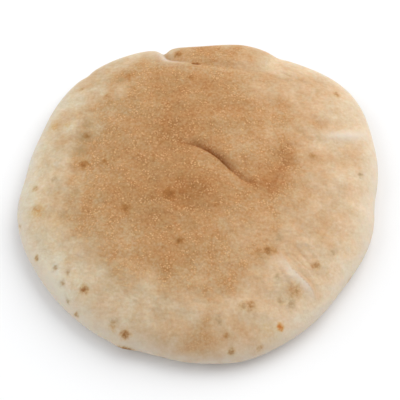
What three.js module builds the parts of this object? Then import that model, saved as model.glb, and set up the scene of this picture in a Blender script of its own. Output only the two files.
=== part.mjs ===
// A pita bread: one round flat loaf, puffed in the oven and settled again.
// It is a single solid, a low pillow that stands on the flat middle of its underside.
// Millimetres, +Z up. The origin is the middle of the footprint's box, on the table.
import * as THREE from "three";

// Driving dimensions.
const DIAMETER = 178; // of the plain circle under the outline's swells
const RIM_HEIGHT = 7; // the outermost edge, above the table
const CROWN_RISE = 18; // the middle of the top, above the rim
const FULLNESS = 3; // power of the top's section: 2 is a plain dome, more is a flatter pillow
const BASE_SHARE = 0.8; // the flat of the underside, as a share of the radius
const TOP_RINGS = 34; // rings of the top sheet, with 6 more points on each
const BASE_RINGS = TOP_RINGS / 2; // the underside is half as fine
const FLAT_RINGS = 6; // how many of those lie in its flat middle
const RIM_FADE = 12; // power of the radius that keeps the folds off the rim itself
const SECTION_STEPS = 400; // steps that measure the length of a section
const PATH_STEPS = 60; // steps along a fold's line

// The outline, as bells in angle on top of the plain circle: bearing and half-width in degrees,
// counted anticlockwise from +X, and the amount in millimetres.
const OUTLINE_SWELLS = [
  { bearing: 39, width: 23, amount: 12.3 },
  { bearing: 74, width: 12, amount: 4.9 },
  { bearing: 124, width: 26, amount: 5.9 },
  { bearing: 190, width: 16, amount: 1.9 },
  { bearing: 284, width: 10, amount: 1.6 },
  { bearing: 12, width: 9, amount: 1.2 },
  { bearing: 157, width: 10, amount: -1.3 },
  { bearing: 173, width: 8, amount: -1.5 },
  { bearing: 254, width: 8, amount: -1.4 },
  { bearing: 324, width: 16, amount: -2.7 },
  { bearing: 357, width: 6, amount: -1.1 },
];
// Small nicks and nubs where the dough is pinched at the rim.
const RIM_NICKS = [
  { bearing: 102, width: 3.4, amount: -1.5 },
  { bearing: 102, width: 1.8, amount: -2.4 },
  { bearing: 63, width: 3, amount: -1.2 },
  { bearing: 129, width: 2.4, amount: -0.9 },
  { bearing: 246, width: 3, amount: 0.9 },
];
const NICK_REACH = 10; // power of the radius over which a nick fades towards the middle
// Where the rim lifts off the table a little more.
const RIM_LIFTS = [
  { bearing: 85, width: 30, amount: 3 },
  { bearing: 205, width: 40, amount: 1.5 },
];

// Folds of the top skin. Each follows a line on the plan and sinks by depth, or stands up where
// depth is negative. left and right are its half-widths on either side of the line, and lip is a
// small welt along its right side. fades are the shares of its length over which it rises at its
// start and dies out at its end. crisp folds draw the skin together at the line.
const FOLDS = [
  {
    name: "back tuck",
    line: [[-21, 97], [-19, 86], [-16.5, 80], [-10, 76.5], [-1, 74.3]],
    depth: 3.6, left: 5, right: 3.5, lip: 1, crisp: true, fades: [0, 0.5],
  },
  {
    name: "back line",
    line: [[-6, 75.3], [5.7, 73.3], [20.5, 70.8], [29, 69]],
    depth: 1.3, left: 3, right: 2.5, lip: 0, crisp: false, fades: [0.3, 0.6],
  },
  {
    name: "back valley",
    line: [[20, 71], [30, 69.5], [37, 73], [45, 84]],
    depth: 1.6, left: 7, right: 6, lip: 0, crisp: false, fades: [0.5, 0.3],
  },
  {
    name: "middle crease",
    line: [[-12, 23], [-6, 22], [0.7, 20], [7, 16.3], [12.4, 11.3], [16.9, 6.1], [21.9, 1.2], [27.5, -2.5]],
    depth: 1.5, left: 5, right: 3, lip: 0.3, crisp: true, fades: [0.5, 0.5],
  },
  {
    name: "right hollow",
    line: [[46, 24], [43, 15.5], [39, 7], [35, -2], [29, -12]],
    depth: 2, left: 6, right: 6, lip: 0, crisp: false, fades: [0.5, 0.5],
  },
  {
    name: "left hollow",
    line: [[-53, 45], [-56, 26], [-57, 10], [-54, -8]],
    depth: 1.4, left: 6, right: 6, lip: 0, crisp: false, fades: [0.5, 0.5],
  },
  {
    name: "right ridge",
    line: [[61, 28], [71.5, 29.3], [79.6, 31], [88, 34.5]],
    depth: -1, left: 2.8, right: 2.6, lip: 0, crisp: false, fades: [0.5, 0.3],
  },
  {
    name: "lower ridge",
    line: [[38.5, -38], [42.7, -44.6], [45.9, -48.9], [49.8, -52], [53.8, -55.6], [56.2, -61]],
    depth: -2.4, left: 1.8, right: 8, lip: 0, crisp: false, fades: [0.5, 0.35],
  },
  {
    name: "lower groove",
    line: [[46, -35], [50.4, -40], [55, -45.5], [60, -51], [66, -57]],
    depth: 1.4, left: 5, right: 3.5, lip: 0, crisp: false, fades: [0.5, 0.5],
  },
];
const GATHER = 0.35; // how strongly a crisp fold draws the skin towards its line
const FINEST_WIDTH = 4.2; // the narrowest half-width that the mesh can carry without ripples
const LIP_WIDTH = 0.5; // of a lip, as a share of the fold's own half-width

// Broad swells of the top: place, radius and height.
const TOP_SWELLS = [
  { at: [29, 17], radius: 13, height: 1.3 },
  { at: [-6, 2], radius: 14, height: 1 },
  { at: [-30, 35], radius: 20, height: 0.8 },
  { at: [8, -42], radius: 18, height: -0.8 },
  { at: [-52, -32], radius: 16, height: 0.8 },
  { at: [64, 2], radius: 14, height: 0.7 },
];

const CRUST_COLOUR = 0xd0a878;
const CRUST_ROUGHNESS = 0.9;

const radians = THREE.MathUtils.degToRad;

// The sum of the bells at one angle.
function bells(list, angle) {
  let sum = 0;
  for (const { bearing, width, amount } of list) {
    const turn = angle - radians(bearing);
    const off = Math.atan2(Math.sin(turn), Math.cos(turn));
    sum += amount * Math.exp(-((off / radians(width)) ** 2));
  }
  return sum;
}

const rimHeight = (angle) => RIM_HEIGHT + bells(RIM_LIFTS, angle);

// The plan point at a share of the way out to the rim.
function planPoint(share, angle) {
  const radius =
    share * (DIAMETER / 2 + bells(OUTLINE_SWELLS, angle)) +
    share ** NICK_REACH * bells(RIM_NICKS, angle);
  return new THREE.Vector2(radius * Math.cos(angle), radius * Math.sin(angle));
}

// The section above the rim.
const topRise = (share) => CROWN_RISE * Math.sqrt(1 - share ** FULLNESS);

// The section below it, as a share of the rim's height: flat, then a quarter of an ellipse.
function baseRise(share) {
  const out = Math.max(0, (share - BASE_SHARE) / (1 - BASE_SHARE));
  return 1 - Math.sqrt(1 - out ** 2);
}

// Shares of the radius for the underside's rings: even steps over the flat, then even turns.
function baseShares() {
  const flat = Array.from({ length: FLAT_RINGS + 1 }, (_, i) => (BASE_SHARE * i) / FLAT_RINGS);
  const turns = BASE_RINGS + 1 - FLAT_RINGS; // the last of them is the rim itself
  for (let i = 1; i < turns; i++) {
    flat.push(BASE_SHARE + (1 - BASE_SHARE) * Math.sin((Math.PI / 2) * (i / turns)));
  }
  return flat;
}

// Shares of the radius that cut a section into steps of equal length, from the middle to the rim.
function evenShares(rise, steps) {
  const places = [0];
  const lengths = [0];
  for (let i = 1; i <= SECTION_STEPS; i++) {
    const place = 1 - (1 - i / SECTION_STEPS) ** 2; // finer where the rim turns over
    const before = places[i - 1];
    const across = (place - before) * (DIAMETER / 2);
    lengths.push(lengths[i - 1] + Math.hypot(across, rise(place) - rise(before)));
    places.push(place);
  }
  const shares = [];
  for (let step = 0, i = 0; step <= steps; step++) {
    const wanted = (lengths[SECTION_STEPS] * step) / steps;
    while (i < SECTION_STEPS - 1 && lengths[i + 1] < wanted) i++;
    const part = (wanted - lengths[i]) / (lengths[i + 1] - lengths[i]);
    shares.push(THREE.MathUtils.lerp(places[i], places[i + 1], part));
  }
  return shares;
}

// Each fold's line as short straight steps, ready for measuring distances.
function foldPath(fold) {
  const curve = new THREE.SplineCurve(fold.line.map(([x, y]) => new THREE.Vector2(x, y)));
  return curve.getPoints(PATH_STEPS);
}

const foldPaths = FOLDS.map((fold) => ({ fold, path: foldPath(fold) }));

// How strong a fold is at a share of the way along it: 1, but for the fades at its ends.
function strengthAt(fold, along) {
  const [start, end] = fold.fades;
  const rising = start > 0 ? Math.min(1, along / start) : 1;
  const dying = end > 0 ? Math.min(1, (1 - along) / end) : 1;
  return Math.sin((Math.PI / 2) * rising) * Math.sin((Math.PI / 2) * dying);
}

// The nearest place on a fold's line: where it is, how far away, on which side of the line the
// point lies, 1 for left and -1 for right, and how strong the fold is there.
function nearest({ fold, path }, point) {
  let best = { gap: Infinity };
  for (let i = 0; i < PATH_STEPS; i++) {
    const step = path[i + 1].clone().sub(path[i]);
    const off = point.clone().sub(path[i]);
    const part = THREE.MathUtils.clamp(off.dot(step) / step.lengthSq(), 0, 1);
    const foot = path[i].clone().addScaledVector(step, part);
    const gap = foot.distanceTo(point);
    if (gap < best.gap) best = { foot, gap, side: Math.sign(step.cross(off)), along: (i + part) / PATH_STEPS };
  }
  return { ...best, strength: strengthAt(fold, best.along) };
}

// Draws a point towards the crisp folds near it, so that the skin gathers at the crease.
function gathered(point) {
  const moved = point.clone();
  for (const entry of foldPaths) {
    if (!entry.fold.crisp) continue;
    const { foot, gap, side, strength } = nearest(entry, moved);
    const reach = halfWidth(entry.fold, side);
    if (gap < reach) moved.sub(foot).multiplyScalar((gap / reach) ** (GATHER * strength)).add(foot);
  }
  return moved;
}

// A fold's half-width on one side of its line, 1 for left and -1 for right.
function halfWidth(fold, side) {
  return Math.max(FINEST_WIDTH, side > 0 ? fold.left : fold.right);
}

// How far the folds and swells raise the top at a plan point.
function relief(point) {
  let height = 0;
  for (const entry of foldPaths) {
    const { fold } = entry;
    const { gap, side, strength } = nearest(entry, point);
    const share = gap / halfWidth(fold, side);
    height -= fold.depth * strength * Math.exp(-(share ** 2));
    if (side < 0) height += fold.lip * strength * Math.exp(-(((share - 1) / LIP_WIDTH) ** 2));
  }
  for (const { at, radius, height: rise } of TOP_SWELLS) {
    height += rise * Math.exp(-(((point.x - at[0]) ** 2 + (point.y - at[1]) ** 2) / radius ** 2));
  }
  return height;
}

// One point of the top sheet.
function topPoint(share, angle) {
  const plan = planPoint(share, angle);
  const fade = 1 - share ** RIM_FADE;
  if (fade > 0) plan.lerp(gathered(plan), fade);
  const rim = THREE.MathUtils.lerp(RIM_HEIGHT, rimHeight(angle), share ** 2);
  return new THREE.Vector3(plan.x, plan.y, rim + topRise(share) + fade * relief(plan));
}

// One point of the underside: flat in the middle, then turning up to the rim.
function basePoint(share, angle) {
  const plan = planPoint(share, angle);
  return new THREE.Vector3(plan.x, plan.y, rimHeight(angle) * baseRise(share));
}

// A round sheet of points: ring k holds 6k of them, so that its triangles stay even.
function sheet(shares, place) {
  const points = [place(0, 0)];
  for (let ring = 1; ring < shares.length; ring++) {
    for (let i = 0; i < 6 * ring; i++) {
      points.push(place(shares[ring], (2 * Math.PI * i) / (6 * ring)));
    }
  }
  return points;
}

const ringStart = (ring) => (ring === 0 ? 0 : 1 + 3 * ring * (ring - 1));
const ringPoint = (ring, i) => ringStart(ring) + (ring === 0 ? 0 : i % (6 * ring));

// The triangles of such a sheet, anticlockwise from above.
function sheetTriangles(rings) {
  const triangles = [];
  for (let ring = 1; ring <= rings; ring++) {
    for (let side = 0; side < 6; side++) {
      for (let i = 0; i < ring; i++) {
        const outer = side * ring + i;
        const inner = side * (ring - 1) + i;
        const a = ringPoint(ring, outer);
        const b = ringPoint(ring, outer + 1);
        const c = ringPoint(ring - 1, inner);
        triangles.push([a, b, c]);
        if (i < ring - 1) triangles.push([b, ringPoint(ring - 1, inner + 1), c]);
      }
    }
  }
  return triangles;
}

// The whole closed skin: the top sheet out to the rim, and the underside joined to its last ring.
function loafGeometry() {
  const topPoints = sheet(evenShares(topRise, TOP_RINGS), topPoint);
  const basePoints = sheet(baseShares(), basePoint);
  const points = [...topPoints, ...basePoints];
  const triangles = sheetTriangles(TOP_RINGS);
  const below = topPoints.length;
  for (const [a, b, c] of sheetTriangles(BASE_RINGS)) {
    triangles.push([a + below, c + below, b + below]);
  }
  // Two steps of the rim meet one step of the underside's last ring.
  for (let i = 0; i < 6 * BASE_RINGS; i++) {
    const inner = below + ringPoint(BASE_RINGS, i);
    const next = below + ringPoint(BASE_RINGS, i + 1);
    const first = ringPoint(TOP_RINGS, 2 * i);
    const middle = ringPoint(TOP_RINGS, 2 * i + 1);
    const last = ringPoint(TOP_RINGS, 2 * i + 2);
    triangles.push([inner, middle, first], [inner, next, middle], [next, last, middle]);
  }
  const geometry = new THREE.BufferGeometry().setFromPoints(points);
  geometry.setIndex(triangles.flat());
  geometry.computeVertexNormals();
  geometry.computeBoundingBox();
  const middle = geometry.boundingBox.getCenter(new THREE.Vector3());
  return geometry.translate(-middle.x, -middle.y, -geometry.boundingBox.min.z);
}

function crustMaterial() {
  return new THREE.MeshStandardMaterial({
    color: CRUST_COLOUR,
    roughness: CRUST_ROUGHNESS,
    metalness: 0,
  });
}

const pita = new THREE.Group();
const loaf = new THREE.Mesh(loafGeometry(), crustMaterial());
loaf.name = "pita_loaf";
pita.add(loaf);

export default pita;
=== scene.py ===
"""A pita bread on a pale table: a round flat loaf, puffed in the oven, settled and browned on top.

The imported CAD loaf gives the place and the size. This script makes the same form again, much
finer, with the small relief of baked dough, and gives it a crust made of nodes. Plan lengths are
in millimetres from the middle of the round that the outline is drawn on, and MM turns them into
metres.
"""

import bpy
import numpy as np
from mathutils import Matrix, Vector


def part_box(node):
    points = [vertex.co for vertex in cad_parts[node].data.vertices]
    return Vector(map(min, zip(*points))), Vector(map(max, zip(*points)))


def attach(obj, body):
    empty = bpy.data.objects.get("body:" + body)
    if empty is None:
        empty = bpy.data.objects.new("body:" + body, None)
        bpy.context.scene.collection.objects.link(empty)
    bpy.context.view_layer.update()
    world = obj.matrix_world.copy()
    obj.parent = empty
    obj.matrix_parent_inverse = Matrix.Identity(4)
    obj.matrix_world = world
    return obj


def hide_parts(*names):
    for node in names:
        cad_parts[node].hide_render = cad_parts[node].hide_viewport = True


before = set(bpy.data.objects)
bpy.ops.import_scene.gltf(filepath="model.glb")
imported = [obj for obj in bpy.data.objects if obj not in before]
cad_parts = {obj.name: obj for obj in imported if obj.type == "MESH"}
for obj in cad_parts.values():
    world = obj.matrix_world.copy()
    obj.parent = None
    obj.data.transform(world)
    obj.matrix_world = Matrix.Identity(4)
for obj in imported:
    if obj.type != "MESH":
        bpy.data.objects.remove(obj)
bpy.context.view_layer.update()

MM = 0.001
LOAF = "pita_loaf"

# ------------------------------------------------------------------ the form
# These are the values of the CAD source, which draws the narrow folds wider for its coarser mesh.
DIAMETER = 178  # of the plain circle under the outline's swells
RIM_HEIGHT = 7  # the outermost edge, above the table
CROWN_RISE = 18  # the middle of the top, above the rim
FULLNESS = 3  # power of the top's section: more is a flatter pillow
BASE_SHARE = 0.8  # the flat of the underside, as a share of the radius
RIM_FADE = 12  # power of the radius that keeps the folds off the rim itself
NICK_REACH = 10  # power of the radius over which a nick fades towards the middle
SECTION_STEPS = 400  # steps that measure the length of a section
PATH_STEPS = 60  # steps along a fold's line
GATHER = 0.35  # how strongly a crisp fold draws the skin towards its line
CRISPNESS = 1.6  # how fast a crisp fold rises from its line
LIP_WIDTH = 0.5  # of a lip, as a share of the fold's own half-width

# The outline's swells and nicks, and where the rim lifts off the table a little more. They are
# bells in angle: bearing and half-width in degrees, amount in millimetres.
OUTLINE_SWELLS = [
    (39, 23, 12.3),
    (74, 12, 4.9),
    (124, 26, 5.9),
    (190, 16, 1.9),
    (284, 10, 1.6),
    (12, 9, 1.2),
    (157, 10, -1.3),
    (173, 8, -1.5),
    (254, 8, -1.4),
    (324, 16, -2.7),
    (357, 6, -1.1),
]
RIM_NICKS = [(102, 3.4, -1.5), (102, 1.8, -2.4), (63, 3, -1.2), (129, 2.4, -0.9), (246, 3, 0.9)]
RIM_LIFTS = [(85, 30, 3), (205, 40, 1.5)]

# Folds: a line, how deep, the half-widths to its left and right, the lip on its right, whether it
# is crisp, and the shares of its length over which it rises and dies out. A ridge has a depth
# below 0.
FOLDS = {
    "back tuck": {
        "line": [(-21, 97), (-19, 86), (-16.5, 80), (-10, 76.5), (-1, 74.3)],
        "depth": 3.6, "left": 5, "right": 3.5, "lip": 1, "crisp": True, "fades": (0, 0.5),
    },
    "back line": {
        "line": [(-6, 75.3), (5.7, 73.3), (20.5, 70.8), (29, 69)],
        "depth": 1.3, "left": 3, "right": 2.5, "lip": 0, "crisp": False, "fades": (0.3, 0.6),
    },
    "back valley": {
        "line": [(20, 71), (30, 69.5), (37, 73), (45, 84)],
        "depth": 1.6, "left": 7, "right": 6, "lip": 0, "crisp": False, "fades": (0.5, 0.3),
    },
    "middle crease": {
        "line": [
            (-12, 23), (-6, 22), (0.7, 20), (7, 16.3),
            (12.4, 11.3), (16.9, 6.1), (21.9, 1.2), (27.5, -2.5),
        ],
        "depth": 1.5, "left": 5, "right": 3, "lip": 0.3, "crisp": True, "fades": (0.5, 0.5),
    },
    "right hollow": {
        "line": [(46, 24), (43, 15.5), (39, 7), (35, -2), (29, -12)],
        "depth": 2, "left": 6, "right": 6, "lip": 0, "crisp": False, "fades": (0.5, 0.5),
    },
    "left hollow": {
        "line": [(-53, 45), (-56, 26), (-57, 10), (-54, -8)],
        "depth": 1.4, "left": 6, "right": 6, "lip": 0, "crisp": False, "fades": (0.5, 0.5),
    },
    "right ridge": {
        "line": [(61, 28), (71.5, 29.3), (79.6, 31), (88, 34.5)],
        "depth": -1, "left": 2.8, "right": 2.6, "lip": 0, "crisp": False, "fades": (0.5, 0.3),
    },
    "lower ridge": {
        "line": [
            (38.5, -38), (42.7, -44.6), (45.9, -48.9),
            (49.8, -52), (53.8, -55.6), (56.2, -61),
        ],
        "depth": -2.4, "left": 1.8, "right": 8, "lip": 0, "crisp": False, "fades": (0.5, 0.35),
    },
    "lower groove": {
        "line": [(46, -35), (50.4, -40), (55, -45.5), (60, -51), (66, -57)],
        "depth": 1.4, "left": 5, "right": 3.5, "lip": 0, "crisp": False, "fades": (0.5, 0.5),
    },
}

# Broad swells of the top: place, radius and height.
TOP_SWELLS = [
    ((29, 17), 13, 1.3),
    ((-6, 2), 14, 1),
    ((-30, 35), 20, 0.8),
    ((8, -42), 18, -0.8),
    ((-52, -32), 16, 0.8),
    ((64, 2), 14, 0.7),
]

# ------------------------------------------------------------------ what Blender adds
TOP_RINGS = 160  # rings of the top sheet, with 6 more points on each
BASE_RINGS = TOP_RINGS // 2  # the underside is half as fine
FLAT_RINGS = 56  # how many of those lie in its flat middle

# A random field is a sum of waves, each with its own turn and length.
FIELD_WAVES = 48
FIELD_SPREAD = (0.75, 1.35)  # of a wave's length, as shares of the field's wavelength
# Where the random numbers of each field start. The layers of a field count on from there.
SKIN_SEED = 11
BASE_SEED = 31
TOAST_SEED = 51
UNDER_SEED = 61
FLAT_EDGE_SEED = 63
WOBBLE_SEED = 71
UNDER_SPOT_SEED = 81

# The small relief of the skin: wavelength and height of each layer, in millimetres.
SKIN_LAYERS = [(26, 0.35), (11, 0.18), (5, 0.1), (2.4, 0.07)]
BASE_DIMPLES = [(19, 0.5), (7, 0.25)]
DIMPLE_START = 0.3  # how high a field has to stand to lift the underside off the table

BLISTER_RISE = 0.35  # of a browned blister
BLISTER_SPREAD = 1.3  # how much wider it is than its mark
DULL_DROP = 0.3  # of a dull one

# Fine wrinkles of the skin: a line on the plan, its depth and half-width, and its painted shade.
# Each rises over the first half of its length and dies out over the second.
WRINKLE_FADES = (0.5, 0.5)
WRINKLES = [
    ([(40, -37), (46, -43), (50, -46)], 0.3, 0.6, 0.15),
    ([(44, -37), (48, -42), (53, -46)], 0.35, 0.6, 0.18),
    ([(46, -34), (50, -38.5), (56, -46)], 0.3, 0.6, 0.15),
    ([(50, -33), (54, -37), (57, -42)], 0.25, 0.6, 0.1),
    ([(37, -43), (40, -50), (45, -58)], 0.4, 0.8, 0),
    ([(43, -42), (48, -47.5), (53, -51.5), (58, -56)], 0.4, 0.7, 0.2),
    ([(34, 68), (42, 64), (50, 63)], 0.4, 0.7, 0.15),
    ([(38, 72), (47, 67), (56, 62)], 0.4, 0.7, 0.15),
    ([(44, 74), (54, 69), (62, 63)], 0.4, 0.7, 0.1),
    ([(-14, 80), (-4, 79), (8, 77)], 0.3, 0.8, 0),
    ([(-60, 45), (-62, 34), (-62, 24)], 0.4, 1, 0),
    ([(-4, 73.6), (-1.5, 73.2), (1.5, 73)], 1.2, 0.7, 1),
    ([(-3, 21), (0.7, 20), (7, 16.3), (12.4, 11.3), (16.9, 6.1), (21.9, 1.2)], 0.7, 0.7, 0),
    ([(20, 3), (24, 0.5), (30, -3)], 0.6, 1.8, 0.38),
]

# The browned part of the top: its middle, its plain radius, and bells in angle on top of that.
TOAST_MIDDLE = (-8, 5)
TOAST_RADIUS = 62
TOAST_SWELLS = [
    (82, 24, 27),
    (36, 12, 7),
    (127, 9, -4),
    (184, 12, -8),
    (285, 22, 7),
    (334, 12, -6),
]
# How wide its edge is, and how ragged: the wavelength and size of each layer, in millimetres.
TOAST_EDGE = 6
TOAST_RAGGED = [(22, 5), (11, 3)]
# How brown it is: 0 is pale dough and 1 is well browned. It falls off towards its edge by the
# first drop, and the pale margin falls off towards the rim by the second.
TOAST_CORE = 0.84
TOAST_DROP = 0.2
MARGIN = 0.1
MARGIN_DROP = 0.45
MARGIN_POWER = 9
# The underside is browned on the flat that lay on the oven floor, blotchy, and pale outside it.
UNDER_PALE = 0.1
UNDER_BROWNED = 0.45
UNDER_BLOTCHES = [(30, 0.3), (12, 0.2)]
# How wide the flat's edge is, and how ragged, as shares of the radius, and over what length.
FLAT_EDGE = 0.03
FLAT_RAGGED = 0.1
FLAT_RAGGED_LENGTH = 20

# Places that are browner or paler than that, with painted shade along the front of the rim: place,
# radii across and along, turn in degrees anticlockwise, and amount.
TOAST_AND_SHADE_PATCHES = [
    ((-14, 30), (9, 13), 0, 0.2),
    ((-3, -6), (16, 9), 0, 0.18),
    ((-27, -8), (14, 10), 0, 0.08),
    ((22, 22), (13, 13), 0, -0.18),
    ((20, -27), (16, 12), 0, -0.25),
    ((36, -2), (6, 9), 0, 0.38),
    ((44, 15), (5, 8), 0, 0.42),
    ((57, 12), (8, 8), 0, 0.15),
    ((48, 30), (8, 8), 0, -0.16),
    ((7, 7.5), (14, 3), -42, -0.1),
    ((16.5, 1), (7, 3), -42, -0.12),
    ((-62, -20), (8, 9), 0, 0.12),
    ((71, -9), (8, 10), 0, 0.15),
    ((77.4, -9.7), (6, 2.2), -15, -0.25),
    ((61, -25), (7, 7), 0, 0.1),
    ((46, -26), (7, 6), 0, 0.1),
    ((-71, -54), (7, 7), 0, -0.12),
    ((37, -55), (6, 6), 0, -0.1),
    ((55, -45), (7, 4), -45, 0.12),
    ((-15, -42), (9, 9), 0, 0.1),
    ((16, -54), (8, 5), 0, 0.15),
    ((15, -66), (8, 6), 0, -0.15),
    ((15, 84), (45, 9), 0, 0.25),
    ((18, 90), (16, 6), 0, 0.15),
    ((21, 80.5), (12, 4), -15, 0.14),
    ((-45, 78), (12, 4), 25, 0.14),
    ((38, 76), (5, 8), -20, -0.16),
    ((35, 68), (9, 6), 0, 0.12),
    ((-15, 77), (7, 3), -15, -0.25),
    ((-38, 68), (14, 8), 20, 0.27),
    ((-55, 70), (17, 7), 40, 0.36),
    ((-15, 60), (22, 8), 0, 0.1),
    ((5, 69), (15, 5), 0, -0.13),
    ((-32, 54), (18, 9), 10, 0.12),
    ((50, 70), (8, 6), -30, 0.12),
    # Painted shade on the front of the rim, which turns away from the light, with some browning.
    ((-25, -80), (20, 8), 0, 0.15),
    ((-57, 24), (3.5, 18), 0, 0.08),
    ((-66, 25), (6, 14), 0, -0.2),
    ((-55, -15), (6, 8), 0, 0.15),
    # These two too: painted shade on the front of the rim, with some browning.
    ((5, -87), (40, 9), 0, 0.6),
    ((5, -76), (34, 8), 0, 0.15),
    ((58, 35), (10, 8), 0, 0.2),
    ((65, 64), (12, 9), -45, 0.25),
    ((84, 48), (7, 9), 0, 0.15),
    ((76, 17), (9, 8), 0, 0.26),
    ((60, -22), (14, 10), 0, 0.15),
    ((68, 25), (6, 5), 0, -0.15),
    ((-64, -42), (9, 9), 0, -0.3),
    ((65, 8), (8, 7), 0, -0.14),
    ((54, -15), (9, 7), 0, -0.12),
    ((17, -86), (9, 5), 0, -0.22),
    ((-45, -70), (14, 8), -40, 0.25),
]

# Browned blisters: place, radius, and how strong each is. The wide weak one is a ruddy flush of
# the browned skin.
SCORCHES = [
    ((-54, -56), 2.5, 0.75),
    ((-34.6, -78), 2.5, 0.82),
    ((-14.5, -8.5), 3.1, 0.85),
    ((-34.8, -15.4), 2.8, 0.66),
    ((-9, -33), 2.5, 0.64),
    ((33, -38), 2.4, 0.8),
    ((29.5, -38.5), 2.6, 0.48),
    ((36.5, -38.3), 2, 0.5),
    ((-4, -5), 13, 0.21),
    ((45.6, -57.6), 4.8, 0.46),
    ((46.4, -58.6), 3, 0.46),
    ((21, -66.3), 2.4, 0.45),
    ((24.3, -66), 2.8, 0.55),
    ((15.6, -86), 2.2, 0.6),
    ((13.5, -79.5), 2, 0.5),
    ((57, 15.6), 1.7, 0.55),
    ((71, 57), 2.2, 0.6),
    ((-56.5, 11.7), 2.6, 0.74),
    ((-56, 29), 2.2, 0.5),
    ((-10.5, 81.7), 2.8, 0.65),
    ((-58, -66), 1.8, 0.55),
    ((-78.5, -37), 1.8, 0.55),
    ((-36, 66), 2.0, 0.4),
    ((-60.5, 60.7), 1.8, 0.35),
    ((-47, 53), 2.0, 0.4),
    ((-4, 62.5), 2.2, 0.45),
    ((-2.6, 73.4), 1.2, 0.65),
    ((-0.4, 73.1), 1.3, 0.7),
    ((-47, 11.6), 1.8, 0.68),
    ((56.5, -43.4), 2.5, 0.6),
    ((29, -83.4), 2.0, 0.5),
    ((-81, 0), 1.8, 0.5),
    ((74, -46), 1.8, 0.45),
    ((-88, -18), 1.8, 0.4),
    ((-22, 12), 1.8, 0.4),
    ((8, -14), 1.8, 0.25),
    ((27, 0), 2.2, 0.3),
]
# Yellow and orange ones. The wide weak ones warm the pale margin.
OCHRES = [
    ((39, -74.4), 1.9, 0.9),
    ((-79, -13.5), 4.2, 0.42),
    ((-73.6, 38), 4.4, 0.36),
    ((-66.5, 37), 2.4, 0.3),
    ((-40, -74), 3, 0.25),
    ((33, -77), 7, 0.2),
    ((-70, -20), 8, 0.18),
    ((60, -28), 6, 0.18),
    ((75, -10), 6, 0.16),
]
# Small dull ones, where the skin blistered but stayed pale. The wide ones at the left run
# together into a band.
DULLS = [
    ((-69, -44), 1.8, 0.7),
    ((-62.5, -47), 1.6, 0.6),
    ((-65, -52), 1.8, 0.6),
    ((-62.5, -60), 1.6, 0.6),
    ((-40, -72.5), 3, 0.5),
    ((-40.5, 63.6), 3, 0.6),
    ((37.5, -51.5), 2.2, 0.5),
    ((-79.5, -12), 2, 0.4),
    ((44, -63.5), 2.2, 0.6),
    ((39, -62.5), 2.0, 0.6),
    ((9, -73), 2.0, 0.7),
    ((39, -31.4), 2.0, 0.6),
    ((81, 8), 2.0, 0.6),
    ((-71, 4), 2.0, 0.5),
    ((-56.5, 36), 4, 0.6),
    ((-57.5, 28), 4, 0.75),
    ((-59, 20), 3.8, 0.75),
    ((-60, -5), 2.4, 0.5),
    ((-66, -17.5), 2.8, 0.5),
    ((65, -36), 2.0, 0.5),
]
# Dark marks just under the rim's edge, in the scorch colour: place, radius and strength.
RIM_MARKS = [
    ((-36.5, -81), 2.2, 1.1),
    ((-34.5, -81.9), 2.8, 1.2),
    ((-32.5, -82.7), 2.4, 1.1),
]
# Blisters of the underside, strewn at random: how many, and the ranges of radius and strength.
UNDER_SPOTS = 90
UNDER_RADII = (1.2, 3.6)
UNDER_STRENGTHS = (0.25, 0.85)

# Uneven edges of the spots: how far they are pushed about, and over what length.
SPOT_WOBBLE = 0.35
SPOT_RAGGEDNESS = 3.2

# Folds with a pale floury crest: reach to its left and right, amount, and the power of the fold's
# strength that the flour follows. It fades out sooner than the fold where that is over 1.
FLOURED_FOLDS = [
    ("back tuck", 0.3, 4.5, 0.8, 3.5),
    ("lower ridge", 0.9, 3.4, 0.85, 1),
    ("right ridge", 3.2, 2.6, 0.85, 1),
]
# Folds with painted shade in the crease and on the slope to its left, where shade falls: reach of
# the line, reach of the slope to its left, amount.
SHADED_FOLDS = [
    ("middle crease", 0.7, 3, 1),
    ("back tuck", 0.8, 2.5, 0.25),
    ("back line", 0.8, 2.5, 0.2),
    ("lower ridge", 0.1, 4, 0.6),
    ("right hollow", 0.1, 6, 0.25),
]
SLOPE_SHADE = 0.6  # how dark that slope is beside the line
# Painted light: the skin is tinted cooler on the left of this middle, where the cool fill light
# falls, and warmer on the right of it, where the warm window light falls.
WARMTH_MIDDLE = 15
WARMTH_WIDTH = 22
# The power of the share that fades out the raw band along the rim, and bells in angle on top of
# it. The band is narrow where the power is high.
RAW_POWER = 28
RAW_SWELLS = [(271, 6, 32), (240, 20, -12), (85, 28, 40), (127, 14, 24), (354, 14, -14)]

# ------------------------------------------------------------------ the camera and the stage
CAMERA_ELEVATION = 60  # degrees above the table
CAMERA_DISTANCE = 0.7  # metres, as all lengths of the stage
CAMERA_LENS = 126  # millimetres, on a sensor of the width below
SENSOR_WIDTH = 36
CAMERA_AIM = (0.0003, -0.0038, 0.010)  # from the middle of the loaf's footprint
# Square soft lights: place, size, power and colour.
LIGHTS = {
    "window": ((0.9, 0.8, 1.4), 2.0, 25, (1.0, 0.98, 0.95)),
    "fill": ((-1.4, 0.2, 1.1), 1.6, 9, (0.95, 0.97, 1.0)),
}
ROOM_COLOUR = (0.95, 0.97, 1.0, 1)
ROOM_STRENGTH = 0.64
FLOOR_REACH = 6
FLOOR_COLOUR = (0.9, 0.9, 0.9, 1)
FLOOR_ROUGHNESS = 0.9


# ------------------------------------------------------------------ form functions
def bells(swells, angle):
    """The sum of the bells at each angle."""
    total = np.zeros_like(angle)
    for bearing, width, amount in swells:
        off = (angle - np.radians(bearing) + np.pi) % (2 * np.pi) - np.pi
        total += amount * np.exp(-((off / np.radians(width)) ** 2))
    return total


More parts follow.
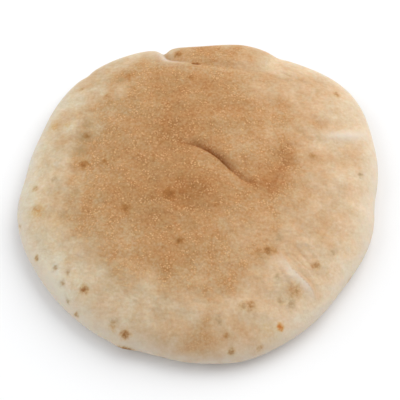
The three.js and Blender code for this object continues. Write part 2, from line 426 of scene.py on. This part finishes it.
def plan_points(share, angle):
    """The plan points at these shares of the way out to the rim."""
    radius = share * (DIAMETER / 2 + bells(OUTLINE_SWELLS, angle))
    radius += share**NICK_REACH * bells(RIM_NICKS, angle)
    return np.stack([radius * np.cos(angle), radius * np.sin(angle)], axis=1)


def top_rise(share):
    """How far the top stands above the rim."""
    return CROWN_RISE * np.sqrt(np.maximum(0, 1 - share**FULLNESS))


def base_rise(share):
    """How far the underside turns up, from 0 on its flat to 1 at the rim."""
    out = np.maximum(0, (share - BASE_SHARE) / (1 - BASE_SHARE))
    return 1 - np.sqrt(np.maximum(0, 1 - out**2))


def base_shares():
    """Shares of the radius for the underside's rings: even steps on the flat, then even turns."""
    flat = BASE_SHARE * np.arange(FLAT_RINGS + 1) / FLAT_RINGS
    turns = BASE_RINGS + 1 - FLAT_RINGS
    turned = BASE_SHARE + (1 - BASE_SHARE) * np.sin(np.pi / 2 * np.arange(1, turns) / turns)
    return np.concatenate([flat, turned])


def even_shares(rise, steps):
    """Shares of the radius that cut a section into steps of equal length."""
    places = 1 - (1 - np.arange(SECTION_STEPS + 1) / SECTION_STEPS) ** 2
    spans = np.hypot(np.diff(places) * DIAMETER / 2, np.diff(rise(places)))
    lengths = np.concatenate([[0], np.cumsum(spans)])
    return np.interp(np.linspace(0, lengths[-1], steps + 1), lengths, places)


def spline(line, steps):
    """Points along a Catmull-Rom curve through a line's points."""
    knots = np.array([line[0], *line, line[-1]], float)
    along = np.linspace(0, len(line) - 1, steps + 1)
    first = np.minimum(along.astype(int), len(line) - 2)
    part = (along - first)[:, None]
    a, b, c, d = (knots[first + i] for i in range(4))
    start, end = (c - a) / 2, (d - b) / 2
    return (
        (2 * (b - c) + start + end) * part**3
        + (3 * (c - b) - 2 * start - end) * part**2
        + start * part
        + b
    )


def strength_at(fades, along):
    """How strong a fold is at a share of the way along it: 1, but for the fades at its ends."""
    start, end = fades
    rising = np.minimum(1, along / start) if start else np.ones_like(along)
    dying = np.minimum(1, (1 - along) / end) if end else np.ones_like(along)
    return np.sin(np.pi / 2 * rising) * np.sin(np.pi / 2 * dying)


def nearest(fold, points):
    """For each point the nearest place on a fold's line, the gap to it, the side, 1 for left and
    -1 for right, and the fold's strength there."""
    path = spline(fold["line"], PATH_STEPS)
    foot = np.zeros_like(points)
    gap = np.full(len(points), np.inf)
    side = np.zeros(len(points))
    along = np.zeros(len(points))
    for i, (start, step) in enumerate(zip(path[:-1], np.diff(path, axis=0))):
        off = points - start
        part = np.clip(off @ step / (step @ step), 0, 1)
        place = start + part[:, None] * step
        distance = np.linalg.norm(points - place, axis=1)
        nearer = distance < gap
        foot[nearer] = place[nearer]
        gap[nearer] = distance[nearer]
        side[nearer] = np.sign(step[0] * off[nearer, 1] - step[1] * off[nearer, 0])
        along[nearer] = (i + part[nearer]) / PATH_STEPS
    return foot, gap, side, strength_at(fold["fades"], along)


def gathered(points):
    """The points, drawn towards the crisp folds near them."""
    moved = points.copy()
    for fold in FOLDS.values():
        if not fold["crisp"]:
            continue
        foot, gap, side, strength = nearest(fold, moved)
        reach = np.where(side > 0, fold["left"], fold["right"])
        near = gap < reach
        pull = (gap[near] / reach[near]) ** (GATHER * strength[near])
        moved[near] = foot[near] + (moved[near] - foot[near]) * pull[:, None]
    return moved


def fold_relief(points):
    """How far the folds and swells raise the top at each plan point."""
    height = np.zeros(len(points))
    for fold in FOLDS.values():
        _, gap, side, strength = nearest(fold, points)
        share = gap / np.where(side > 0, fold["left"], fold["right"])
        shape = np.exp(-CRISPNESS * share) if fold["crisp"] else np.exp(-(share**2))
        height -= fold["depth"] * strength * shape
        lip = fold["lip"] * strength * np.exp(-(((share - 1) / LIP_WIDTH) ** 2))
        height += np.where(side < 0, lip, 0)
    for middle, radius, rise in TOP_SWELLS:
        height += rise * mound(points, middle, radius)
    return height


def mound(points, middle, radius):
    """A round bell, 1 at its middle."""
    off = points - np.array(middle)
    return np.exp(-(off**2).sum(axis=1) / radius**2)


def oval(points, middle, radii, turn):
    """An oval bell, 1 at its middle, turned anticlockwise by degrees."""
    off = points - np.array(middle)
    c, s = np.cos(np.radians(turn)), np.sin(np.radians(turn))
    across = (off @ np.array([c, s])) / radii[0]
    along = (off @ np.array([-s, c])) / radii[1]
    return np.exp(-(across**2) - along**2)


def smooth_edge(distance, width):
    """1 well inside an edge and 0 well outside it, by the distance outside."""
    return 1 / (1 + np.exp(distance / width))


def ripples(points, wavelength, seed):
    """A smooth random field with features of one size, mostly between -1 and 1."""
    draw = np.random.default_rng(seed)
    turn = draw.uniform(0, 2 * np.pi, FIELD_WAVES)
    pitch = 2 * np.pi / (wavelength * draw.uniform(*FIELD_SPREAD, FIELD_WAVES))
    phase = draw.uniform(0, 2 * np.pi, FIELD_WAVES)
    angles = points @ (pitch * np.stack([np.cos(turn), np.sin(turn)])) + phase
    return np.cos(angles).sum(axis=1) / np.sqrt(FIELD_WAVES)


def layered(points, layers, seed):
    """The sum of such fields, from layers of (wavelength, size)."""
    total = np.zeros(len(points))
    for layer, (wavelength, size) in enumerate(layers):
        total += size * ripples(points, wavelength, seed + layer)
    return total


# ------------------------------------------------------------------ the loaf's mesh
def sheet_grid(shares):
    """Share and angle of every point of a round sheet: ring k holds 6k points."""
    share, angle = [np.zeros(1)], [np.zeros(1)]
    for ring, at in enumerate(shares[1:], start=1):
        share.append(np.full(6 * ring, at))
        angle.append(2 * np.pi * np.arange(6 * ring) / (6 * ring))
    return np.concatenate(share), np.concatenate(angle)


def ring_point(ring, i):
    """The number of a ring's point i, counted round and round."""
    return 0 if ring == 0 else 1 + 3 * ring * (ring - 1) + i % (6 * ring)


def sheet_triangles(rings):
    """The triangles of such a sheet, anticlockwise from above."""
    triangles = []
    for ring in range(1, rings + 1):
        for side in range(6):
            for i in range(ring):
                a = ring_point(ring, side * ring + i)
                b = ring_point(ring, side * ring + i + 1)
                c = ring_point(ring - 1, side * (ring - 1) + i)
                triangles.append((a, b, c))
                if i < ring - 1:
                    triangles.append((b, ring_point(ring - 1, side * (ring - 1) + i + 1), c))
    return triangles


def skin_relief(points, share):
    """The dough's own small relief on the top, in millimetres."""
    height = layered(points, SKIN_LAYERS, SKIN_SEED)
    for middle, radius, strength in SCORCHES + OCHRES:
        height += BLISTER_RISE * strength * mound(points, middle, BLISTER_SPREAD * radius)
    for middle, radius, strength in DULLS:
        height -= DULL_DROP * strength * mound(points, middle, radius)
    for line, depth, width, _ in WRINKLES:
        height -= depth * wrinkle(line, width, points)
    return height * (1 - share**RIM_FADE)


def wrinkle(line, width, points):
    """A bell across a wrinkle's line, which fades in and out along it."""
    _, gap, _, strength = nearest({"line": line, "fades": WRINKLE_FADES}, points)
    return strength * np.exp(-((gap / width) ** 2))


def top_sheet():
    """The top's points, with the share of the way out to the rim of each."""
    share, angle = sheet_grid(even_shares(top_rise, TOP_RINGS))
    plan = plan_points(share, angle)
    fade = 1 - share**RIM_FADE
    plan += fade[:, None] * (gathered(plan) - plan)
    rim = RIM_HEIGHT + share**2 * bells(RIM_LIFTS, angle)
    height = rim + top_rise(share) + fade * fold_relief(plan) + skin_relief(plan, share)
    return np.column_stack([plan, height]), share


def base_sheet():
    """The underside's points, with their shares: flat but for shallow dimples, then turning up."""
    share, angle = sheet_grid(base_shares())
    plan = plan_points(share, angle)
    height = (RIM_HEIGHT + bells(RIM_LIFTS, angle)) * base_rise(share)
    for layer, (wavelength, rise) in enumerate(BASE_DIMPLES):
        height += rise * np.maximum(0, ripples(plan, wavelength, BASE_SEED + layer) - DIMPLE_START)
    return np.column_stack([plan, height]), share


def loaf_faces(below):
    """All triangles of the closed skin. below is the number of the underside's first point."""
    triangles = sheet_triangles(TOP_RINGS)
    triangles += [(a + below, c + below, b + below) for a, b, c in sheet_triangles(BASE_RINGS)]
    for i in range(6 * BASE_RINGS):
        inner = below + ring_point(BASE_RINGS, i)
        following = below + ring_point(BASE_RINGS, i + 1)
        first, middle, last = (ring_point(TOP_RINGS, 2 * i + step) for step in range(3))
        triangles.append((inner, middle, first))
        triangles.append((inner, following, middle))
        triangles.append((following, last, middle))
    return triangles


# ------------------------------------------------------------------ what is stored on the mesh
def bearings(points):
    """The angle of each point about the origin."""
    return np.arctan2(points[:, 1], points[:, 0])


def browning_and_shade(plan, share):
    """How browned the top is, with painted shade along the front of the rim."""
    off = plan - np.array(TOAST_MIDDLE)
    out = np.hypot(*off.T) / (TOAST_RADIUS + bells(TOAST_SWELLS, bearings(off)))
    ragged = layered(plan, TOAST_RAGGED, TOAST_SEED)
    inside = smooth_edge((out - 1) * TOAST_RADIUS + ragged, TOAST_EDGE)
    margin = MARGIN - MARGIN_DROP * share**MARGIN_POWER
    toast_and_shade = margin + (TOAST_CORE - TOAST_DROP * np.minimum(out, 1) ** 2 - margin) * inside
    for middle, radii, turn, amount in TOAST_AND_SHADE_PATCHES:
        toast_and_shade += amount * oval(plan, middle, radii, turn)
    return toast_and_shade


def under_browning(plan, share):
    """How browned the underside is."""
    blotches = layered(plan, UNDER_BLOTCHES, UNDER_SEED)
    ragged = FLAT_RAGGED * ripples(plan, FLAT_RAGGED_LENGTH, FLAT_EDGE_SEED)
    flat = smooth_edge(share - BASE_SHARE + ragged, FLAT_EDGE)
    return UNDER_PALE + flat * (UNDER_BROWNED + blotches)


def under_spots():
    """The underside's blisters."""
    draw = np.random.default_rng(UNDER_SPOT_SEED)
    angle = draw.uniform(0, 2 * np.pi, UNDER_SPOTS)
    out = DIAMETER / 2 * np.sqrt(draw.uniform(0, 1, UNDER_SPOTS))
    middles = zip(out * np.cos(angle), out * np.sin(angle))
    radii = draw.uniform(*UNDER_RADII, UNDER_SPOTS)
    strengths = draw.uniform(*UNDER_STRENGTHS, UNDER_SPOTS)
    return list(zip(middles, radii, strengths))


def spotted(sheet, spots, home=None):
    """The strongest of a list of spots at each point of a sheet, with uneven edges.

    Distances are measured through the air and not on the plan, so spots stay round on the rim.
    The spots sit on the sheet itself, or on the other one where home gives it."""
    home = sheet if home is None else home
    strongest = np.zeros(len(sheet))
    wobble = sheet.copy()
    for axis in range(2):
        push = ripples(sheet[:, :2], SPOT_RAGGEDNESS, WOBBLE_SEED + axis)
        wobble[:, axis] += SPOT_WOBBLE * push
    for middle, radius, strength in spots:
        centre = home[np.argmin(np.linalg.norm(home[:, :2] - np.array(middle), axis=1))]
        strongest = np.maximum(strongest, strength * mound(wobble, centre, radius))
    return strongest


def floured(plan):
    """Where the skin is pale and floury: the tuck's lip and the crests of the ridges."""
    pale = np.zeros(len(plan))
    for name, left, right, amount, power in FLOURED_FOLDS:
        _, gap, side, strength = nearest(FOLDS[name], plan)
        reach = np.where(side > 0, left, right)
        pale = np.maximum(pale, amount * strength**power * np.exp(-((gap / reach) ** 2)))
    return pale


def painted_crease_shade(plan):
    """Painted shade with a brown tint: dark in a crease, and on the slope to its left, where shade
    falls.
    """
    painted_shade = np.zeros(len(plan))
    for name, line, slope, amount in SHADED_FOLDS:
        _, gap, side, strength = nearest(FOLDS[name], plan)
        on_line = np.exp(-((gap / line) ** 2))
        on_slope = np.where(side > 0, SLOPE_SHADE * np.exp(-((gap / slope) ** 2)), 0)
        painted_shade = np.maximum(painted_shade, amount * strength * np.maximum(on_line, on_slope))
    for line, _, width, shade_amount in WRINKLES:
        painted_shade = np.maximum(painted_shade, shade_amount * wrinkle(line, width, plan))
    return painted_shade


def warmth_across(plan):
    """How warm the painted light is: from 0, cool on the left, to 1, warm on the right."""
    return smooth_edge(WARMTH_MIDDLE - plan[:, 0], WARMTH_WIDTH)


def rawness(plan, share):
    """How raw the top's dough is, which is all in the band along the rim."""
    return share ** (RAW_POWER + bells(RAW_SWELLS, bearings(plan)))


def under_rawness(share):
    """How raw the underside's dough is, from the edge of its flat out to the rim."""
    return np.clip((share - BASE_SHARE) / (1 - BASE_SHARE), 0, 1)


def paint(mesh, name, top, base):
    """Stores one number for each vertex, of the top sheet and then of the underside."""
    layer = mesh.attributes.new(name, "FLOAT", "POINT")
    layer.data.foreach_set("value", np.concatenate([top, base]).astype(np.float32))


def seated(points):
    """The points in metres, in the middle of the CAD loaf's box and on its lowest level."""
    low, high = (np.array(corner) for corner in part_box(LOAF))
    middle = (points.min(axis=0) + points.max(axis=0)) / 2
    shift = (low + high) / 2 / MM - middle
    shift[2] = low[2] / MM - points[:, 2].min()
    return (points + shift) * MM


def make_loaf():
    """The fine loaf, with the numbers that its material reads stored on its vertices."""
    top, top_share = top_sheet()
    base, base_share = base_sheet()
    mesh = bpy.data.meshes.new("pita_crust")
    mesh.from_pydata(seated(np.vstack([top, base])), [], loaf_faces(len(top)))
    mesh.shade_smooth()
    plan, under = top[:, :2], base[:, :2]
    none = np.zeros(len(base))
    # The browning also holds painted shade along the front of the rim.
    paint(mesh, "toast_and_shade", browning_and_shade(plan, top_share), under_browning(under, base_share))
    scorched = np.maximum(spotted(top, SCORCHES), spotted(top, RIM_MARKS, base))
    paint(mesh, "scorch", scorched, spotted(base, under_spots() + RIM_MARKS))
    paint(mesh, "ochre", spotted(top, OCHRES), none)
    paint(mesh, "dull", spotted(top, DULLS), none)
    paint(mesh, "flour", floured(plan), none)
    # Painted shade of the creases and wrinkles.
    paint(mesh, "crease", painted_crease_shade(plan), none)
    # Painted light: cool on the left and warm on the right.
    paint(mesh, "painted_warmth", warmth_across(plan), warmth_across(under))
    paint(mesh, "raw", rawness(plan, top_share), under_rawness(base_share))
    loaf = bpy.data.objects.new("pita_crust", mesh)
    bpy.context.scene.collection.objects.link(loaf)
    return loaf


# ------------------------------------------------------------------ the crust's nodes
def linear(red, green, blue):
    """A colour given as 0 to 255 on screen, by the sRGB curve, as the linear numbers of nodes."""
    shown = np.array([red, green, blue]) / 255
    value = np.where(shown <= 0.04045, shown / 12.92, ((shown + 0.055) / 1.055) ** 2.4)
    return (*value.tolist(), 1)


# The colour of the skin by how browned it is. A TINT is multiplied onto it, and brightens it where
# it is over 255.
BROWNING_STOPS = [
    (-0.35, linear(221, 206, 182)),
    (-0.05, linear(211, 188, 157)),
    (0.25, linear(199, 168, 133)),
    (0.5, linear(190, 153, 112)),
    (0.75, linear(181, 136, 90)),
    (1.0, linear(170, 120, 73)),
    (1.25, linear(157, 104, 58)),
    (1.5, linear(140, 86, 44)),
]
SPECK_COLOUR = linear(226, 184, 136)
RUDDY_TINT = linear(258, 253, 249)
KHAKI_TINT = linear(254, 256, 257)
# Painted light: the tints of the cool left and of the warm right.
COOL_LIGHT_TINT = linear(249, 256, 259)
WARM_LIGHT_TINT = linear(258, 256, 254)
HALO_TINT = linear(244, 228, 200)
SCORCH_COLOUR = linear(142, 94, 48)
YELLOW_TINT = linear(250, 228, 176)
OCHRE_COLOUR = linear(190, 108, 46)
DULL_COLOUR = linear(168, 138, 98)
FLOUR_COLOUR = linear(217, 203, 185)
# The tint of the painted shade in the creases.
CREASE_SHADE_TINT = linear(200, 156, 108)
RAW_COLOUR = linear(214, 200, 182)

# A RANGE is the value where a smooth step is 0 and the one where it is 1. A NOISE is a size in
# millimetres, a detail and sometimes a roughness. A SWING is a size, how far it goes each way,
# and a detail.
BROWNED_RANGE = (0.25, 0.7)  # from pale dough to browned skin
# Mottling of the skin, from blotches down to sand, and how strong the sand is on pale skin and how
# much stronger on browned skin.
MOTTLE_SWINGS = [(13, 0.1, 4), (5, 0.12, 3), (2.2, 0.09, 2)]
SAND_SWING = (1.25, 0.2, 2)
SAND_ON_PALE = 0.4
SAND_GAIN = 0.6
# The tint of the skin wanders between khaki and ruddy.
HUE_NOISE = (9, 3)
HUE_RANGE = (0.4, 0.6)
# Grains that stand up from the skin in clusters: their pitch, the range of the distance from the
# middle of each, how uneven that is, and how much paler they are on pale and on browned skin.
GRAIN_PITCH = 1.2
GRAIN_RANGE = (0.5, 0.15)
GRAIN_SWING = (0.9, 0.16, 1)
CLUSTER_NOISE = (5, 2)
CLUSTER_RANGE = (0.38, 0.62)
SPECK_ON_PALE = 0.05
SPECK_GAIN = 0.5
# How much of the raw colour the raw band has.
RAW_AMOUNT = 0.75
RAW_SWING = (4, 0.3, 3)
# Spots are uneven inside. Toasted ones have a stored number, a tint around and a colour within.
SPOT_SWING = (1.3, 0.45, 2)
DULL_RANGE = (0, 0.9)
TOASTED_SPOTS = [
    ("ochre", YELLOW_TINT, OCHRE_COLOUR),
    ("scorch", HALO_TINT, SCORCH_COLOUR),
]
HALO_RANGE = (0, 0.6)
CORE_RANGE = (0.15, 0.95)
CORE_AMOUNT = 0.9
# The finest relief, which is a bump of the shading: its height is in millimetres.
FINE_NOISE = (0.7, 3, 0.6)
LUMP_NOISE = (2.5, 2)
GRAIN_RELIEF = 0.5
BUMP_STRENGTH = 0.6
BUMP_HEIGHT = 0.2
ROUGHNESS = 0.86
ROUGHNESS_SWING = (2.5, 0.06, 2)
CRUST_SOCKETS = {
    "Specular IOR Level": 0.2,
    "Subsurface Weight": 0.3,
    "Subsurface Radius": (1, 0.45, 0.2),
    "Subsurface Scale": 1.5 * MM,
}


class Nodes:
    """Short words for the shader nodes of one material."""

    def __init__(self, material):
        material.use_nodes = True
        self.tree = material.node_tree
        self.tree.nodes.clear()
        place = self.add("TexCoord").outputs["Object"]
        self.place = self.add("Mapping", Vector=place, Scale=(1 / MM,) * 3).outputs["Vector"]

    def add(self, kind, settings=None, **inputs):
        """A new node. Its inputs are named with _ for each space."""
        node = self.tree.nodes.new("ShaderNode" + kind)
        for name, value in (settings or {}).items():
            setattr(node, name, value)
        for name, value in inputs.items():
            self.join(value, node.inputs[name.replace("_", " ")])
        return node

    def join(self, value, socket):
        """Links a socket to a node's output, or sets it to a plain value."""
        if isinstance(value, bpy.types.NodeSocket):
            self.tree.links.new(value, socket)
        else:
            socket.default_value = value

    def attribute(self, name):
        """A number stored on the vertices."""
        return self.add("Attribute", {"attribute_name": name}).outputs["Fac"]

    def maths(self, operation, first, second=0.0, third=0.0):
        node = self.add("Math", {"operation": operation})
        for value, socket in zip((first, second, third), node.inputs):
            self.join(value, socket)
        return node.outputs[0]

    def noise(self, size, detail, roughness=0.5):
        """Noise from 0 to 1 with features of about that many millimetres."""
        inputs = {"Scale": 1 / size, "Detail": detail, "Roughness": roughness}
        return self.add("TexNoise", Vector=self.place, **inputs).outputs["Fac"]

    def swing(self, size, amount, detail):
        """Noise from about -amount to amount. Plain noise is mostly between 0.25 and 0.75."""
        return self.maths("MULTIPLY_ADD", self.noise(size, detail), 4 * amount, -2 * amount)

    def blend(self, share, first, second, mode="MIX"):
        """A mix of two colours. The node numbers its colour sockets 6 and 7, and its output 2."""
        node = self.add("Mix", {"data_type": "RGBA", "blend_type": mode})
        for value, socket in ((share, 0), (first, 6), (second, 7)):
            self.join(value, node.inputs[socket])
        return node.outputs[2]

    def ramp(self, value, stops):
        """The colour at a value, from stops of (value, colour)."""
        node = self.add("ValToRGB")
        elements = node.color_ramp.elements
        while len(elements) < len(stops):
            elements.new(0.5)
        low, high = stops[0][0], stops[-1][0]
        for element, (position, colour) in zip(elements, stops):
            element.position = (position - low) / (high - low)
            element.color = colour
        self.join(self.span(value, low, high, "LINEAR"), node.inputs["Fac"])
        return node.outputs["Color"]

    def span(self, value, low, high, way="SMOOTHSTEP"):
        """0 where a value is low and 1 where it is high, by a smooth step or in even steps."""
        inputs = {"Value": value, "From_Min": low, "From_Max": high}
        return self.add("MapRange", {"interpolation_type": way}, **inputs).outputs["Result"]


def skin_colour(n, toast_and_shade, browned):
    """The mottled skin, from pale to browned, which leans to khaki here and to ruddy there, in
    painted light that is cooler on the left and warmer on the right.
    """
    for mottle in MOTTLE_SWINGS:
        toast_and_shade = n.maths("ADD", toast_and_shade, n.swing(*mottle))
    sandy = n.maths("MULTIPLY_ADD", browned, SAND_GAIN, SAND_ON_PALE)
    toast_and_shade = n.maths("MULTIPLY_ADD", n.swing(*SAND_SWING), sandy, toast_and_shade)
    colour = n.ramp(toast_and_shade, BROWNING_STOPS)
    hue = n.span(n.noise(*HUE_NOISE), *HUE_RANGE)
    colour = n.blend(1.0, colour, n.blend(hue, KHAKI_TINT, RUDDY_TINT), "MULTIPLY")
    # Painted light: a cool tint on the left and a warm tint on the right.
    painted_warmth = n.blend(n.attribute("painted_warmth"), COOL_LIGHT_TINT, WARM_LIGHT_TINT)
    return n.blend(1.0, colour, painted_warmth, "MULTIPLY")


def standing_grains(n):
    """Small grains that stand up from the skin, in clusters."""
    cells = n.add("TexVoronoi", Vector=n.place, Scale=1 / GRAIN_PITCH).outputs["Distance"]
    cells = n.maths("ADD", cells, n.swing(*GRAIN_SWING))
    clusters = n.span(n.noise(*CLUSTER_NOISE), *CLUSTER_RANGE)
    return n.maths("MULTIPLY", n.span(cells, *GRAIN_RANGE), clusters)


def with_spots(n, colour):
    """The colour with the dull, ochre and toasted spots on it."""
    uneven = n.maths("ADD", 1.0, n.swing(*SPOT_SWING))
    dull = n.maths("MULTIPLY", n.attribute("dull"), uneven)
    colour = n.blend(n.span(dull, *DULL_RANGE), colour, DULL_COLOUR)
    for name, halo, core in TOASTED_SPOTS:
        strength = n.maths("MULTIPLY", n.attribute(name), uneven)
        colour = n.blend(n.span(strength, *HALO_RANGE), colour, halo, "MULTIPLY")
        share = n.maths("MULTIPLY", n.span(strength, *CORE_RANGE), CORE_AMOUNT)
        colour = n.blend(share, colour, core)
    return colour


def crust_material():
    """Baked dough: the skin in painted cool and warm light, its grains, the raw band, flour, spots
    and the painted shade of the creases, in that order.
    """
    material = bpy.data.materials.new("baked_crust")
    n = Nodes(material)
    toast_and_shade = n.attribute("toast_and_shade")
    browned = n.span(toast_and_shade, *BROWNED_RANGE)
    colour = skin_colour(n, toast_and_shade, browned)
    grains = standing_grains(n)
    speck_amount = n.maths("MULTIPLY_ADD", browned, SPECK_GAIN, SPECK_ON_PALE)
    colour = n.blend(n.maths("MULTIPLY", grains, speck_amount), colour, SPECK_COLOUR)
    raw_amount = n.maths("ADD", RAW_AMOUNT, n.swing(*RAW_SWING))
    colour = n.blend(n.maths("MULTIPLY", n.attribute("raw"), raw_amount), colour, RAW_COLOUR)
    colour = n.blend(n.attribute("flour"), colour, FLOUR_COLOUR)
    colour = with_spots(n, colour)
    # Painted shade in the creases and on the shaded slopes beside them.
    colour = n.blend(n.attribute("crease"), colour, CREASE_SHADE_TINT, "MULTIPLY")

    relief = n.maths("ADD", n.noise(*FINE_NOISE), n.noise(*LUMP_NOISE))
    relief = n.maths("MULTIPLY_ADD", grains, GRAIN_RELIEF, relief)
    bump = n.add("Bump", Strength=BUMP_STRENGTH, Distance=BUMP_HEIGHT * MM, Height=relief)
    shader = n.add(
        "BsdfPrincipled",
        Base_Color=colour,
        Roughness=n.maths("ADD", ROUGHNESS, n.swing(*ROUGHNESS_SWING)),
        Normal=bump.outputs["Normal"],
    )
    for name, value in CRUST_SOCKETS.items():
        shader.inputs[name].default_value = value
    n.add("OutputMaterial", Surface=shader.outputs["BSDF"])
    return material


# ------------------------------------------------------------------ the stage
def plain_material(name, colour, roughness):
    """A material with nothing but a colour and a roughness."""
    material = bpy.data.materials.new(name)
    material.use_nodes = True
    shader = material.node_tree.nodes["Principled BSDF"]
    shader.inputs["Base Color"].default_value = colour
    shader.inputs["Roughness"].default_value = roughness
    return material


def make_floor(height):
    """A pale table top, which is no part of the object."""
    turns = [(-1, -1), (1, -1), (1, 1), (-1, 1)]
    corners = [(x * FLOOR_REACH, y * FLOOR_REACH, height) for x, y in turns]
    mesh = bpy.data.meshes.new("table_top")
    mesh.from_pydata(corners, [], [(0, 1, 2, 3)])
    mesh.materials.append(plain_material("pale_table", FLOOR_COLOUR, FLOOR_ROUGHNESS))
    floor = bpy.data.objects.new("table_top", mesh)
    bpy.context.scene.collection.objects.link(floor)


def make_light(name, place, size, power, colour, target):
    """A square soft light that faces the target."""
    light = bpy.data.lights.new(name, "AREA")
    light.size = size
    light.energy = power
    light.color = colour
    holder = bpy.data.objects.new(name, light)
    holder.location = place
    holder.rotation_euler = (target - Vector(place)).to_track_quat("-Z", "Y").to_euler()
    bpy.context.scene.collection.objects.link(holder)


def make_lights(target):
    """The lights, and the soft light of the room around them."""
    for name, (place, size, power, colour) in LIGHTS.items():
        make_light(name, place, size, power, colour, target)
    world = bpy.data.worlds.new("pale_room")
    world.use_nodes = True
    background = world.node_tree.nodes["Background"]
    background.inputs["Color"].default_value = ROOM_COLOUR
    background.inputs["Strength"].default_value = ROOM_STRENGTH
    bpy.context.scene.world = world


def make_camera(middle):
    """The camera, which sees the loaf as the photograph does."""
    aim = middle + Vector(CAMERA_AIM)
    tilt = np.radians(CAMERA_ELEVATION)
    back = Vector((0, -np.cos(tilt), np.sin(tilt)))
    data = bpy.data.cameras.new("camera")
    data.lens = CAMERA_LENS
    data.sensor_width = SENSOR_WIDTH
    camera = bpy.data.objects.new("camera", data)
    camera.location = aim + CAMERA_DISTANCE * back
    camera.rotation_euler = (-back).to_track_quat("-Z", "Y").to_euler()
    bpy.context.scene.collection.objects.link(camera)
    bpy.context.scene.camera = camera


lowest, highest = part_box(LOAF)
footprint_middle = Vector(((lowest[0] + highest[0]) / 2, (lowest[1] + highest[1]) / 2, lowest[2]))
make_camera(footprint_middle)
make_lights(footprint_middle)
make_floor(lowest[2])
bpy.context.scene.view_settings.view_transform = "Standard"

loaf = make_loaf()
loaf.data.materials.append(crust_material())
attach(loaf, "root")
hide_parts(LOAF)
